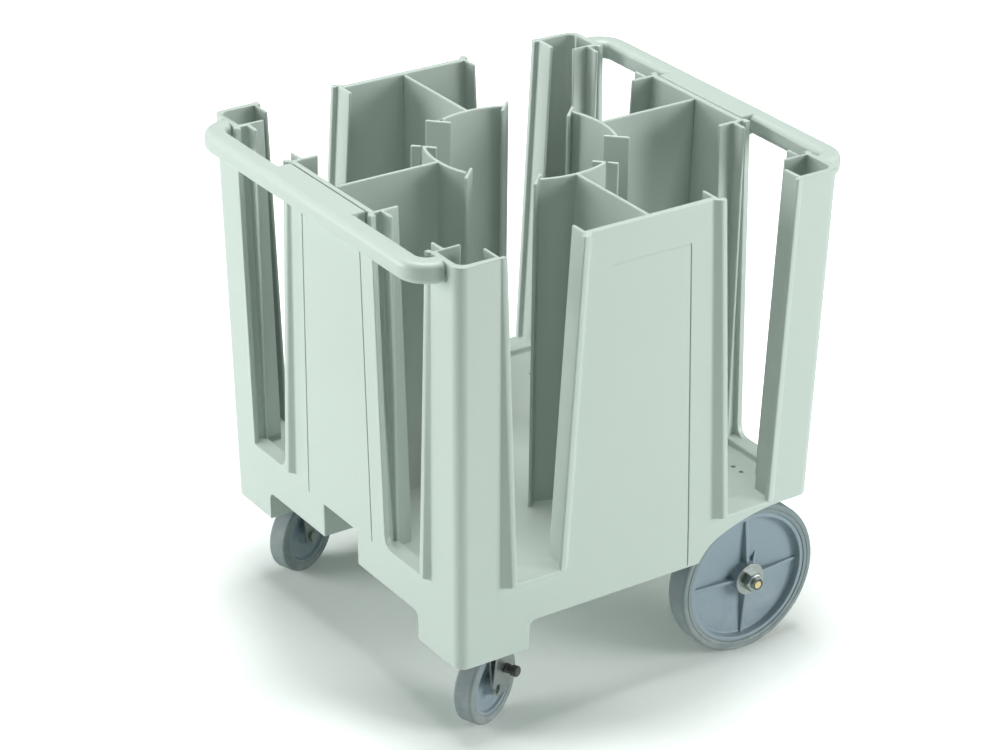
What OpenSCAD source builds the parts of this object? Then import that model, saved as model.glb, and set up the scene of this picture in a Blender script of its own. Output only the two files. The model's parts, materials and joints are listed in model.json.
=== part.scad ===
// Dish caddy on two large fixed wheels and two swivel casters.
// X runs along the travel direction, with the big wheels at +X and the casters at -X.
// Z is up, and the origin is on the floor under the middle of the caddy.

/* [Body envelope] */
// Height of the top rim above the floor
rim_z = 795; // [770:1:820]
// Height of the slot sills
sill_z = 273; // [268:1:300]
// Height of the skirt's lower edge along the sides
skirt_z = 194; // [185:1:200]
// Height of the skirt's lower edge beside the big wheels
wheel_end_z = 255; // [252:1:256]
// Height of the lower edge of the caster feet
foot_z = 146; // [144:1:150]
// Half length over the end faces at the top rim
half_len_top = 333; // [326:1:338]
// How far an end face leans in from the rim to the foot edge
end_draft = 16; // [11:1:21]
// Half width over the side faces at the top rim
half_wid_top = 340; // [332:1:345]
// How far a side face leans in from the rim to the foot edge
side_draft = 15; // [10:1:18]
// Radius of the upright corners
corner_r = 18; // [12:1:24]
// Thickness of the outer walls
wall = 9; // [6:0.5:9.5]
// Thickness of the turned-in walls
return_t = 5; // [4:0.5:6]

/* [Slots] */
// How far the frames of the end slots stand proud of the end faces, at the rim
end_proud_top = 3; // [2:0.5:5]
// How far the frames of the end slots stand proud of the end faces, at the sill
end_proud_low = 10; // [8:0.5:12]
// How far the frames of the side slots stand beyond the rim
side_proud = 1.5; // [1:0.5:4]
// Length of a post between its corner and the side slot, at the rim
post_len_top = 81; // [76:1:86]
// Length of a post between its corner and the side slot, at the sill
post_len_low = 105; // [100:1:110]
// Side slot, panel edge at the rim
side_panel_top = 124; // [116:1:130]
// Side slot, panel edge at the sill
side_panel_low = 153; // [146:1:158]
// Width of a post between its corner and the end slot, at the rim
post_wid_top = 80; // [76:1:84]
// Width of a post between its corner and the end slot, at the sill
post_wid_low = 101; // [96:1:104]
// End slot, panel edge at the rim
end_panel_top = 121; // [117:1:128]
// End slot, panel edge at the sill
end_panel_low = 145; // [140:1:150]
// Width of the flat strip around each slot
strip_w = 9; // [6:0.5:11]
// Height of the flat strip below each slot
sill_strip = 5; // [3:0.5:8]
// Set-back of the turned-in wall from the slot edge
return_set = 8; // [6:0.5:10]
// Depth of the turned-in walls of the side slots
side_return = 44; // [36:1:50]
// Depth of the turned-in walls of the end slots
end_return = 52; // [46:1:56]
// Distance from the end slot's edge back to the ridge behind it
ridge_back = 22; // [17:1:26]
// How far the ridge stands into the slot at the rim
ridge_top = 26; // [18:1:30]
// How far the ridge stands into the slot at the sill
ridge_low = 5; // [3:1:10]

/* [Panels and dividers] */
// Inset of the end panels behind the posts at the rim
end_inset = 2; // [1:0.5:4]
// Inset of the side panels behind the posts at the rim
side_inset = 8; // [5:0.5:10]
// Depth of the upright line beside each panel's field
line_depth = 1; // [0.5:0.1:1.5]
// Width of the upright line
line_w = 2; // [1:0.1:3]
// How far the line stops below the rim
line_top_gap = 60; // [40:1:80]
// Place of the line in the side panels at the rim
side_line_top = 66; // [60:1:72]
// Place of the line in the side panels at the sill
side_line_low = 87; // [80:1:92]
// Place of the line in the end panels at the rim
end_line_top = 78; // [70:1:80]
// Place of the line in the end panels at the sill
end_line_low = 90; // [84:1:94]
// Thickness of the dividers and the curved guides
divider_t = 5; // [4:0.5:6]
// Inner radius of the curved guides of the centre bay
guide_r = 142.5; // [135:0.5:150]
// Half angle of each curved guide
guide_angle = 24.5; // [20:0.5:28]
// Length of the wall across each guide end
guide_cap = 40; // [30:1:46]
// How far the dividers stop below the rim
divider_drop = 2; // [1:0.5:8]
// Height of the top face of the bay floor
floor_z = 262; // [262:0.5:266]
// Thickness of the bay floor
floor_t = 5; // [4:0.5:5.5]

/* [Handle rails] */
// Width of a rail
rail_w = 33; // [30:1:34]
// Height of a rail
rail_h = 32; // [28:1:34]
// Edge rounding of a rail
rail_round = 10; // [6:1:12]
// How far a rail reaches beyond the rim
rail_out = 49; // [47:1:51]
// Half width of the web that joins a rail to its end panel
rail_web = 104; // [96:1:108]

/* [Caster feet] */
// Length of a foot at its lower edge
foot_len = 122; // [120:1:130]
// Width of a foot at its lower edge
foot_wid = 109; // [106:1:118]
// Height of the underside of the plate that carries a caster
web_z = 157; // [156:0.5:160]
// Thickness of that plate
web_t = 6; // [5:0.5:8]
// Half width of the notch in the caster end skirt
notch_half = 48; // [40:1:56]
// Height of the top of that notch
notch_z = 250; // [240:1:252]
// Depth of the walls that run inwards from the sides of that notch
notch_deep = 60; // [40:1:90]
// Distance from the axle back to where the wheel arch is level
arch_back = 45; // [40:1:50]
// Radius of the long upper curve of the wheel arch
arch_long = 290; // [270:1:300]
// Radius of the short lower curve of the wheel arch
arch_short = 70; // [60:1:80]
// Slope of the wheel arch where the two curves meet
arch_meet = 24.5; // [22:0.5:27]
// Slope of the wheel arch at its lower end
arch_steep = 55; // [50:1:60]

/* [Big wheels] */
// Radius of a big wheel
wheel_r = 125; // [120:0.5:127]
// Width of a big wheel over the tyre
wheel_w = 40; // [36:0.5:42]
// Distance from the body's lower side edge in to the outer face of a big wheel
wheel_in = 17; // [15:0.5:20]
// Distance from the body's lower end edge in to the axle
axle_in = 92; // [88:0.5:97]
// Radius of the steel axle
axle_r = 9.5; // [8:0.25:10]
// Radius between the tyre and the wheel centre
tyre_in_r = 109; // [106:0.5:111]
// Radius of the dished face
dish_r = 102; // [98:0.5:104]
// Depth of the dish
dish_depth = 13; // [10:0.5:14]
// Thickness of the web of the wheel centre
wheel_web = 6; // [5:0.5:8]
// Height of a rib above the web, at the hub
rib_tall = 11; // [9:0.5:12]
// Height of a rib above the web, at the rim
rib_low = 3; // [2:0.5:5]
// Thickness of a rib
rib_t = 6; // [4:0.5:8]
// Radius of the wheel hub
hub_r = 24; // [21:0.5:25]
// Outer radius of the wheel bush
bush_r = 14; // [12:0.5:16]
// Radius of the washers beside a wheel
washer_r = 26; // [25:0.5:29]
// Thickness of the washers beside a wheel
washer_t = 3; // [2:0.25:4]
// Width across the flats of a wheel nut
nut_af = 28; // [26:1:32]
// Length of a wheel nut
nut_t = 14; // [12:0.5:16]
// Length of axle that shows past a nut
axle_tip = 6; // [4:0.5:8]
// Distance from the outer face of a big wheel in to its bracket
bracket_in = 66; // [62:1:72]
// Thickness of the bracket steel
bracket_t = 5; // [4:0.5:6]
// Length of a bracket along the caddy
bracket_len = 110; // [90:1:120]
// Radial clearance of every turning shaft
run = 0.05; // [0.03:0.01:0.08]
// Side clearance of every turning part
side_gap = 0.3; // [0.2:0.05:0.5]

/* [Casters] */
// Radius of a caster wheel
caster_r = 63.5; // [60:0.5:63.5]
// Width of a caster wheel
caster_w = 32; // [28:0.5:34]
// Distance from the body's lower end edge in to a swivel axis
caster_in_x = 57; // [56:1:60]
// Distance from the body's lower side edge in to a swivel axis
caster_in_y = 55; // [51:1:59]
// Distance from the swivel axis to the wheel axle
trail = 38; // [34:1:40]
// Swivel angle of the right caster as stored
swivel_right = 24; // [0:1:60]
// Swivel angle of the left caster as stored
swivel_left = 21; // [0:1:60]
// Radius of a caster's axle bolt
pin_r = 5; // [4:0.25:6]
// Outer radius of a caster's bush
caster_bush_r = 8; // [7.5:0.5:10]
// Radius of the hub of a caster wheel
caster_hub_r = 15; // [12:0.5:18]
// Radius between a caster's tyre and its centre
caster_rim_r = 49; // [44:0.5:51]
// Radius of a kingpin
king_r = 6; // [5:0.25:7]
// Thickness of the fork steel
fork_t = 3.5; // [3:0.25:4]
// Radius of the fork crown and the ball race
crown_r = 29; // [26:0.5:31]
// Length of a caster's top plate
plate_len = 92; // [88:1:96]
// Width of a caster's top plate
plate_wid = 66; // [60:1:74]
// Thickness of a caster's top plate
plate_t = 4; // [3:0.25:4]
// Bolt spacing along the top plate
bolt_dx = 75; // [73:1:78]
// Bolt spacing across the top plate
bolt_dy = 46; // [44:1:50]
// Radius of the mounting bolts
bolt_r = 4; // [3:0.25:4]
// Width across the flats of the bolt heads and nuts
bolt_af = 13; // [11:0.5:13]
// Height of the bolt heads and nuts
bolt_head = 5; // [4:0.5:6]

/* [Brake] */
// Distance from the wheel axle back to the brake pin, along the caster
brake_back = 8; // [6:0.5:10]
// Radius of the brake pin
brake_pin_r = 3; // [2.5:0.25:3.25]
// Gap between the brake cam and the tyre when the brake is on
brake_gap = 0.3; // [0.2:0.05:0.5]
// Radius of the brake cam
cam_r = 4.2; // [3.8:0.1:4.4]
// How far the cam is off the centre of its pin
cam_off = 1; // [0.5:0.1:1.2]
// Length of the brake lever below its pin
lever_len = 79; // [76:1:82]
// Radius of the outer brake knob
knob_r = 8.5; // [7:0.5:9]
// Length of the outer brake knob
knob_h = 11.5; // [10:0.5:14]
// Length of the inner brake knob, beside the lever
knob_in_h = 7.5; // [6:0.5:9]
// Thickness of the brake lever steel
lever_t = 3; // [2.5:0.25:3.5]

/* [Hidden] */
$fn = 48;

plastic = [0.74, 0.80, 0.76];
wheel_grey = [0.57, 0.64, 0.67];
tyre_grey = [0.49, 0.55, 0.55];
zinc = [0.72, 0.73, 0.73];
brass = [0.78, 0.66, 0.42];
dark = [0.16, 0.17, 0.18];

// Places that follow from the outline of the body
half_len_low = half_len_top - end_draft;
half_wid_low = half_wid_top - side_draft;
frame_y = half_wid_top + side_proud;
side_post_top = half_len_top - post_len_top;
side_post_low = half_len_top - post_len_low;
end_post_top = half_wid_top - post_wid_top;
end_post_low = half_wid_top - post_wid_low;
rail_x = half_len_top + rail_out;
wheel_out = half_wid_low - wheel_in;
axle_x = half_len_low - axle_in;
bracket_y = wheel_out - bracket_in;
caster_x = half_len_low - caster_in_x;
caster_y = half_wid_low - caster_in_y;
divider_z = rim_z - divider_drop;
floor_low = floor_z - floor_t;
corner_steps = 6;
// Lean of the slot frames' flanks: how far they run for each millimetre they stand proud
end_flank = 0.7;
side_flank = 0.95;
sill_flank = 2;
// Step of a post's turned-in wall behind its ridge
ridge_step = 0.5;
// Spare length that is cut off the ends of a post
trim = 20;
// Half width of the straight part of a rail, whose bends land beside the slot frames
rail_gap = 7;
rail_half = end_post_top + strip_w + end_flank * end_proud_top + rail_w - rail_out + rail_gap;
// Where the side skirts end and the end skirts begin, past the rounded corners
skirt_corner = 49;
skirt_split = half_len_low - skirt_corner;
// Sizes of blocks that only cut away
far = 500;
eps = 0.01;
// Edge rounding of the big tyres
tread_round = 6;
// How far the wheel hubs stand beyond the tyres
hub_proud = 2;
hub_out = wheel_out + hub_proud;
hub_in = wheel_out - wheel_w - hub_proud;
// Ends of the axle
tip_chamfer = 1.5;
axle_end = hub_out + side_gap + washer_t + nut_t + axle_tip;
// Brackets and their screws
eye_r = 22;
flange_w = 44;
screw_r = 3.5;
screw_head = 5;
// Caster heights: the race above the fork crown, and the crown itself
thrust_gap = 0.4;
race_z = 146.5;
crown_z = 138.5;
race_mid = 18;
king_head = 7;
// Fork legs
leg_in = caster_w / 2 + 3;
leg_back = 18;
leg_front = 46;
eye_small = 14;
// Brake pin, its lever and knobs, in the caster's own frame
brake_x = trail - brake_back;
brake_z = caster_r + sqrt(pow(caster_r + brake_gap + cam_r + cam_off, 2) - pow(brake_back, 2));
bolt_end = 0.5;
lever_y = leg_in + fork_t + bolt_head + bolt_end + 1;
lever_eye = 8;
// Outline of the lever and places on it, about its pin and in lever lengths
lever_shape = [[-0.23, -0.71], [-0.025, -1], [0.35, -0.9], [0.53, -0.58], [0.46, -0.3],
  [0.35, -0.2]];
knob_at = [0.2, -0.48];
nut_view = [-0.075, -0.8];
knob_neck = 3;

// Half length and half width of the drafted faces at a height
function face_x(z) =
  half_len_low + (half_len_top - half_len_low) * (z - foot_z) / (rim_z - foot_z);
function face_y(z) =
  half_wid_low + (half_wid_top - half_wid_low) * (z - foot_z) / (rim_z - foot_z);
// A place at a height, from its places at the sill and at the rim
function along(low, top, z) = low + (top - low) * (z - sill_z) / (rim_z - sill_z);
// Half length and half width over the panel faces at a height
function end_panel_x(z) = along(face_x(sill_z), face_x(rim_z) - end_inset, z);
function side_panel_y(z) = along(face_y(sill_z), face_y(rim_z) - side_inset, z);
// Distance to the outer plane of the frames of the end slots at a height
function frame_x(z) = along(face_x(sill_z) + end_proud_low, face_x(rim_z) + end_proud_top, z);
// Points of an arc about a centre
function arc_pts(cx, cy, r, a0, a1, n) =
  [for (i = [0:n]) let (a = a0 + (a1 - a0) * i / n) [cx + r * cos(a), cy + r * sin(a)]];

// Straight-sided solid between two outlines that have as many points
module loft(low, top, z0, z1) {
  n = len(low);
  pts = concat([for (p = low) [p[0], p[1], z0]], [for (p = top) [p[0], p[1], z1]]);
  faces = concat(
    [[for (i = [0:n - 1]) i]],
    [[for (i = [n - 1:-1:0]) n + i]],
    [for (i = [0:n - 1]) [i, n + i, n + (i + 1) % n]],
    [for (i = [0:n - 1]) [i, n + (i + 1) % n, (i + 1) % n]]);
  polyhedron(pts, faces);
}

// Rounded rectangle outline with half sizes a and b
function round_rect(a, b, r) = concat(
  arc_pts(a - r, b - r, r, 0, 90, corner_steps),
  arc_pts(-a + r, b - r, r, 90, 180, corner_steps),
  arc_pts(-a + r, -b + r, r, 180, 270, corner_steps),
  arc_pts(a - r, -b + r, r, 270, 360, corner_steps));

// Rectangle outline
function rect(x0, y0, x1, y1) = [[x0, y0], [x1, y0], [x1, y1], [x0, y1]];

// Solid inside the drafted faces, shrunk by an inset
module drafted_block(z0, z1, inset) {
  loft(round_rect(face_x(z0) - inset, face_y(z0) - inset, corner_r - inset / 2),
    round_rect(face_x(z1) - inset, face_y(z1) - inset, corner_r - inset / 2), z0, z1);
}

// Box from its two opposite corners
module box(p, q) {
  translate(p)
    cube(q - p);
}

// Hexagonal prism along Z from its width across the flats
module hex_prism(af, h) {
  cylinder(r = af / sqrt(3), h = h, $fn = 6);
}

// Outline of a corner post in the +X +Y quarter
function post_outline(z) = let (
    fx = face_x(z), fy = face_y(z),
    ye = along(end_post_low, end_post_top, z),
    xe = along(side_post_low, side_post_top, z),
    ya = ye + return_set, xb = xe + return_set, in_r = corner_r - wall / 2,
    tip = ya - along(ridge_low, ridge_top, z), out = frame_x(z), ridge = out - ridge_back)
  concat(
    [[out - end_return, ya + ridge_step], [ridge - divider_t, ya + ridge_step],
     [ridge - divider_t, tip], [ridge, tip], [ridge, ya], [out - wall, ya],
     [out - wall, ye], [out, ye], [out, ye + strip_w],
     [fx, ye + strip_w + end_flank * (out - fx)]],
    arc_pts(fx - corner_r, fy - corner_r, corner_r, 0, 90, corner_steps),
    [[xe + strip_w + side_flank * (frame_y - fy), fy], [xe + strip_w, frame_y],
     [xe, frame_y], [xe, frame_y - wall], [xb, frame_y - wall],
     [xb, frame_y - side_return], [xb + return_t, frame_y - side_return],
     [xb + return_t, fy - wall]],
    arc_pts(fx - wall - in_r, fy - wall - in_r, in_r, 90, 0, corner_steps),
    [[fx - wall, ya + return_t], [out - end_return, ya + return_t]]);

// Half outline of an end panel, on its +Y side
function end_panel_half(z) = let (
    fx = end_panel_x(z),
    yp = along(end_panel_low, end_panel_top, z),
    yr = yp - return_set, out = frame_x(z), ridge = out - ridge_back,
    tip = yr + along(ridge_low, ridge_top, z))
  [[fx, yp - strip_w - end_flank * (out - fx)], [out, yp - strip_w], [out, yp],
   [out - wall, yp], [out - wall, yr], [ridge, yr], [ridge, tip],
   [ridge - divider_t, tip], [ridge - divider_t, yr], [out - end_return, yr],
   [out - end_return, yr - return_t], [fx - wall, yr - return_t]];

// Half outline of a side panel, drawn with its face towards +X
function side_panel_half(z) = let (
    fy = side_panel_y(z),
    xp = along(side_panel_low, side_panel_top, z),
    xr = xp - return_set)
  [[fy, xp - strip_w - side_flank * (frame_y - fy)], [frame_y, xp - strip_w], [frame_y, xp],
   [frame_y - wall, xp], [frame_y - wall, xr], [frame_y - side_return, xr],
   [frame_y - side_return, xr - return_t], [fy - wall, xr - return_t]];

// Whole outline from its half and the mirror image of it
function doubled(h) = concat(h, [for (i = [len(h) - 1:-1:0]) [h[i][0], -h[i][1]]]);

// Its child, a longer solid, cut to length at the sill and the rim
module cut_to_length() {
  difference() {
    children();
    box([-far, -far, 0], [far, far, sill_z]);
    box([-far, -far, rim_z], [far, far, rim_z + 2 * trim]);
  }
}

module post() {
  color(plastic)
    cut_to_length()
      loft(post_outline(sill_z - trim), post_outline(rim_z + trim), sill_z - trim, rim_z + trim);
}

// Cut for an upright line, between its places at two heights
module field_line(face_low, face_high, y_low, y_high, z0, z1) {
  loft(rect(face_low - line_depth, y_low, face_low + line_w, y_low + line_w),
    rect(face_high - line_depth, y_high, face_high + line_w, y_high + line_w), z0, z1);
}

module end_panel() {
  z0 = sill_z - trim;
  z1 = rim_z + trim;
  line_z = rim_z - line_top_gap;
  color(plastic)
    difference() {
      cut_to_length()
        loft(doubled(end_panel_half(z0)), doubled(end_panel_half(z1)), z0, z1);
      for (s = [0, 1])
        mirror([0, s, 0])
          field_line(end_panel_x(z0), end_panel_x(line_z), along(end_line_low, end_line_top, z0),
            along(end_line_low, end_line_top, line_z), z0, line_z);
    }
}

module side_panel() {
  z0 = sill_z - trim;
  z1 = rim_z + trim;
  line_z = rim_z - line_top_gap;
  line_side = along(side_line_low, side_line_top, line_z);
  color(plastic)
    rotate([0, 0, 90])
      difference() {
        cut_to_length()
          loft(doubled(side_panel_half(z0)), doubled(side_panel_half(z1)), z0, z1);
        mirror([0, 1, 0])
          field_line(side_panel_y(z0), side_panel_y(line_z),
            along(side_line_low, side_line_top, z0),
            along(side_line_low, side_line_top, line_z), z0, line_z);
        box([side_panel_y(line_z) - line_depth, -line_side - line_w, line_z - line_w],
          [side_panel_y(line_z) + line_w, line_side, line_z]);
      }
}

// Curved guide of the centre bay, with a short wall across each end
module guide() {
  cap_mid = guide_r + divider_t / 2;
  rotate([0, 0, -guide_angle])
    rotate_extrude(angle = 2 * guide_angle)
      translate([guide_r, 0])
        square([divider_t, divider_z - floor_z]);
  for (s = [-1, 1])
    translate([cap_mid * cos(guide_angle), s * cap_mid * sin(guide_angle), 0])
      rotate([0, 0, s * 45])
        translate([-guide_cap / 2, -divider_t / 2, 0])
          cube([guide_cap, divider_t, divider_z - floor_z]);
}

// Divider that runs along +X from a guide to a wall
module divider(out_low, out_mid, out_top) {
  inner = guide_r + divider_t / 2;
  color(plastic) {
    loft(rect(inner, -divider_t / 2, out_low, divider_t / 2),
      rect(inner, -divider_t / 2, out_mid, divider_t / 2), floor_z, sill_z);
    loft(rect(inner, -divider_t / 2, out_mid, divider_t / 2),
      rect(inner, -divider_t / 2, out_top, divider_t / 2), sill_z, divider_z);
    translate([0, 0, floor_z])
      guide();
  }
}

module end_divider() {
  divider(face_x(floor_z) - wall, end_panel_x(sill_z) - wall, end_panel_x(divider_z) - wall);
}

module side_divider() {
  rotate([0, 0, 90])
    divider(face_y(floor_z) - wall, side_panel_y(sill_z) - wall,
      side_panel_y(divider_z) - wall);
}

module bay_floor() {
  color(plastic)
    difference() {
      drafted_block(floor_low, floor_z, wall);
      both_sides()
        screw_places()
          translate([0, 0, floor_low - 1])
            cylinder(r = screw_r, h = floor_t + 2);
    }
}

// Curve of the wheel arch, from the side skirt's edge up to the wheel end
module arch_cut() {
  level_x = axle_x + arch_back;
  long_z = wheel_end_z - arch_long;
  short_x = level_x - (arch_long - arch_short) * sin(arch_meet);
  short_z = long_z + (arch_long - arch_short) * cos(arch_meet);
  low_x = short_x - arch_short * sin(arch_steep);
  low_z = short_z + arch_short * cos(arch_steep);
  start_x = low_x - (low_z - skirt_z) / tan(arch_steep);
  translate([0, far, 0])
    rotate([90, 0, 0])
      linear_extrude(2 * far)
        polygon(concat(
          [[start_x, foot_z], [start_x, skirt_z]],
          arc_pts(short_x, short_z, arch_short, 90 + arch_steep, 90 + arch_meet, corner_steps),
          arc_pts(level_x, long_z, arch_long, 90 + arch_meet, 90, 2 * corner_steps),
          [[far, wheel_end_z], [far, foot_z]]));
}

// Raised frame below a slot, for a slot in a wall whose face looks towards +Y
module sill_frame(x0, x1, face_mid, frame, flank) {
  proud = frame - face_mid;
  base_z = sill_z - sill_strip - sill_flank;
  rotate([-90, 0, 0])
    loft(rect(x0 - flank * proud - strip_w, -sill_z, x1 + flank * proud + strip_w, -base_z),
      rect(x0 - strip_w, -sill_z, x1 + strip_w, -sill_z + sill_strip), face_mid - eps, frame);
}

// Sill of a side slot, in the +X +Y quarter
module side_sill() {
  sill_frame(side_panel_low, side_post_low, face_y(sill_z) - 1, frame_y, side_flank);
  box([side_panel_low - return_set - return_t, frame_y - side_return, floor_z],
    [side_post_low + return_set + return_t, face_y(sill_z) - wall + 1, sill_z]);
}

// Sill of an end slot, in the +X +Y quarter
module end_sill() {
  out = frame_x(sill_z);
  ridge_in = out - ridge_back - divider_t;
  ya = end_post_low + return_set;
  yr = end_panel_low - return_set;
  rotate([0, 0, -90])
    mirror([1, 0, 0])
      sill_frame(end_panel_low, end_post_low, face_x(sill_z) - 1, out, end_flank);
  box([ridge_in, yr - return_t, floor_z], [face_x(sill_z) - wall + 1, ya + return_t, sill_z]);
  box([out - end_return, ya, floor_z], [ridge_in, ya + return_t, sill_z]);
  box([out - end_return, yr - return_t, floor_z], [ridge_in, yr, sill_z]);
}

// Lower walls all round, before they are shared out
module skirt_ring(z0) {
  difference() {
    drafted_block(z0, sill_z, 0);
    drafted_block(z0 - 1, sill_z + 1, wall);
  }
}

module side_skirt() {
  color(plastic)
    difference() {
      union() {
        intersection() {
          skirt_ring(skirt_z);
          box([-skirt_split, 0, foot_z], [skirt_split, far, rim_z]);
        }
        side_sill();
        mirror([1, 0, 0])
          side_sill();
      }
      arch_cut();
    }
}

// End skirt towards +X, with its lower edge at a height
module end_skirt(z0) {
  intersection() {
    skirt_ring(z0);
    box([skirt_split, -far, foot_z], [far, far, rim_z]);
  }
  end_sill();
  mirror([0, 1, 0])
    end_sill();
}

module skirt_wheel_end() {
  color(plastic)
    difference() {
      end_skirt(wheel_end_z);
      box([-far, -far, foot_z - 1], [far, far, wheel_end_z]);
    }
}

module skirt_caster_end() {
  color(plastic)
    mirror([1, 0, 0]) {
      difference() {
        end_skirt(skirt_z);
        box([skirt_split, -notch_half, foot_z], [far, notch_half, notch_z]);
      }
      both_sides()
        box([half_len_low - notch_deep, notch_half, skirt_z],
          [half_len_low, notch_half + wall, floor_low]);
    }
}

// Hollow foot round a caster, in the +X +Y quarter
module foot() {
  x0 = face_x(foot_z) - foot_len;
  y0 = face_y(foot_z) - foot_wid;
  color(plastic)
    difference() {
      union() {
        intersection() {
          difference() {
            drafted_block(foot_z, skirt_z, 0);
            drafted_block(foot_z - 1, skirt_z + 1, wall);
          }
          box([x0, y0, foot_z], [far, far, skirt_z]);
        }
        intersection() {
          drafted_block(foot_z, floor_low, wall);
          union() {
            box([x0, y0, foot_z], [x0 + wall, far, floor_low]);
            box([x0, y0, foot_z], [far, y0 + wall, floor_low]);
            box([x0, y0, web_z], [far, far, web_z + web_t]);
          }
        }
      }
      translate([caster_x, caster_y, web_z - 1])
        bolt_places()
          cylinder(r = bolt_r, h = web_t + 2);
    }
}

// Its children at the four bolts of a caster
module bolt_places() {
  for (sx = [-1, 1])
    for (sy = [-1, 1])
      translate([sx * bolt_dx / 2, sy * bolt_dy / 2, 0])
        children();
}

// Cross-section of a rail, centred
module rail_profile() {
  square([rail_w, rail_h - 2 * rail_round], center = true);
  square([rail_w - 2 * rail_round, rail_h], center = true);
  for (sx = [-1, 1])
    for (sy = [-1, 1])
      translate([sx * (rail_w / 2 - rail_round), sy * (rail_h / 2 - rail_round)])
        circle(rail_round);
}

// Rail at the +X end, with its two bends into the posts
module rail() {
  mid_x = rail_x - rail_w / 2;
  mid_z = rim_z - rail_h / 2;
  bend = mid_x - half_len_top;
  color(plastic)
    difference() {
      union() {
        translate([mid_x, rail_half, mid_z])
          rotate([90, 0, 0])
            linear_extrude(2 * rail_half)
              rail_profile();
        for (s = [0, 1])
          mirror([0, s, 0])
            translate([half_len_top, rail_half, mid_z])
              rotate_extrude(angle = 90)
                translate([bend, 0])
                  rail_profile();
        for (s = [0, 1])
          mirror([0, s, 0])
            translate([half_len_top - wall, rail_half + bend, mid_z])
              rotate([90, 0, 90])
                linear_extrude(wall)
                  rail_profile();
        box([face_x(sill_z), -rail_web, rim_z - rail_h], [mid_x, rail_web, rim_z]);
      }
      loft(rect(0, -far, face_x(sill_z), far), rect(0, -far, face_x(rim_z), far),
        sill_z, rim_z);
      loft(rect(0, -rail_web - 1, end_panel_x(sill_z), rail_web + 1),
        rect(0, -rail_web - 1, end_panel_x(rim_z), rail_web + 1), sill_z, rim_z);
    }
}

// Its children turned so that local Z runs outwards along the axle, on the +Y side
module at_axle(y) {
  translate([axle_x, y, wheel_r])
    rotate([-90, 0, 0])
      children();
}

// Rounded band between two radii, w wide, for rotate_extrude
module band_profile(r0, r1, w, r) {
  translate([r0, 0])
    square([r1 - r0 - r, w]);
  translate([r0, r])
    square([r1 - r0, w - 2 * r]);
  for (h = [r, w - r])
    translate([r1 - r, h])
      circle(r);
}

module tyre() {
  color(tyre_grey)
    at_axle(wheel_out - wheel_w)
      rotate_extrude()
        band_profile(tyre_in_r, wheel_r, wheel_w, tread_round);
}

module wheel_centre() {
  web_out = wheel_w - dish_depth;
  web_in = web_out - wheel_web;
  color(wheel_grey)
    at_axle(wheel_out - wheel_w) {
      rotate_extrude()
        polygon([[bush_r, -hub_proud], [hub_r, -hub_proud], [hub_r + 2, web_in],
          [dish_r - 2, web_in], [dish_r, 1], [tyre_in_r, 1], [tyre_in_r, wheel_w - 1],
          [dish_r, wheel_w - 1], [dish_r - 2, web_out], [hub_r + 2, web_out],
          [hub_r, wheel_w + hub_proud], [bush_r, wheel_w + hub_proud]]);
      for (a = [0:90:270])
        rotate([0, 0, a])
          rotate([90, 0, 0])
            translate([0, 0, -rib_t / 2])
              linear_extrude(rib_t)
                for (side = [[web_out, 1], [web_in, -1]])
                  polygon([[hub_r, side[0] - side[1]], [dish_r - 1, side[0] - side[1]],
                    [dish_r - 1, side[0] + side[1] * rib_low],
                    [hub_r, side[0] + side[1] * rib_tall]]);
    }
}

// Round tube along Z
module tube(r_in, r_out, h) {
  difference() {
    cylinder(r = r_out, h = h);
    translate([0, 0, -1])
      cylinder(r = r_in, h = h + 2);
  }
}

module wheel_bush() {
  color(dark)
    at_axle(wheel_out - wheel_w - hub_proud)
      tube(axle_r + run, bush_r, wheel_w + 2 * hub_proud);
}

module axle() {
  color(zinc) {
    translate([axle_x, axle_end - tip_chamfer, wheel_r])
      rotate([90, 0, 0])
        cylinder(r = axle_r, h = 2 * (axle_end - tip_chamfer));
    for (s = [0, 1])
      mirror([0, s, 0])
        at_axle(axle_end - tip_chamfer)
          rotate_extrude()
            polygon([[0, 0], [axle_r, 0], [axle_r - tip_chamfer, tip_chamfer],
              [0, tip_chamfer]]);
  }
}

module both_sides() {
  children();
  mirror([0, 1, 0])
    children();
}

module axle_spacers() {
  color(zinc)
    both_sides()
      at_axle(bracket_y + bracket_t)
        tube(axle_r, bush_r, hub_in - washer_t - side_gap - bracket_y - bracket_t);
}

module axle_washers() {
  color(zinc)
    both_sides() {
      at_axle(hub_in - washer_t - side_gap)
        tube(axle_r, washer_r, washer_t);
      at_axle(hub_out + side_gap)
        tube(axle_r, washer_r, washer_t);
    }
}

module axle_nuts() {
  color(zinc)
    both_sides()
      at_axle(hub_out + side_gap + washer_t)
        difference() {
          intersection() {
            hex_prism(nut_af, nut_t);
            rotate_extrude()
              polygon([[0, 0], [nut_af / 2 + 3, 0], [nut_af / 2 + 3, nut_t - 3],
                [nut_af / 2 - 1, nut_t], [0, nut_t]]);
          }
          translate([0, 0, -1])
            cylinder(r = axle_r, h = nut_t + 2);
        }
}

// Places of the bracket screws, on the +Y side
module screw_places() {
  for (sx = [-1, 1])
    for (k = [0, 1])
      translate([axle_x + sx * (bracket_len / 2 - 14), bracket_y - 14 - k * 20, 0])
        children();
}

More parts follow.
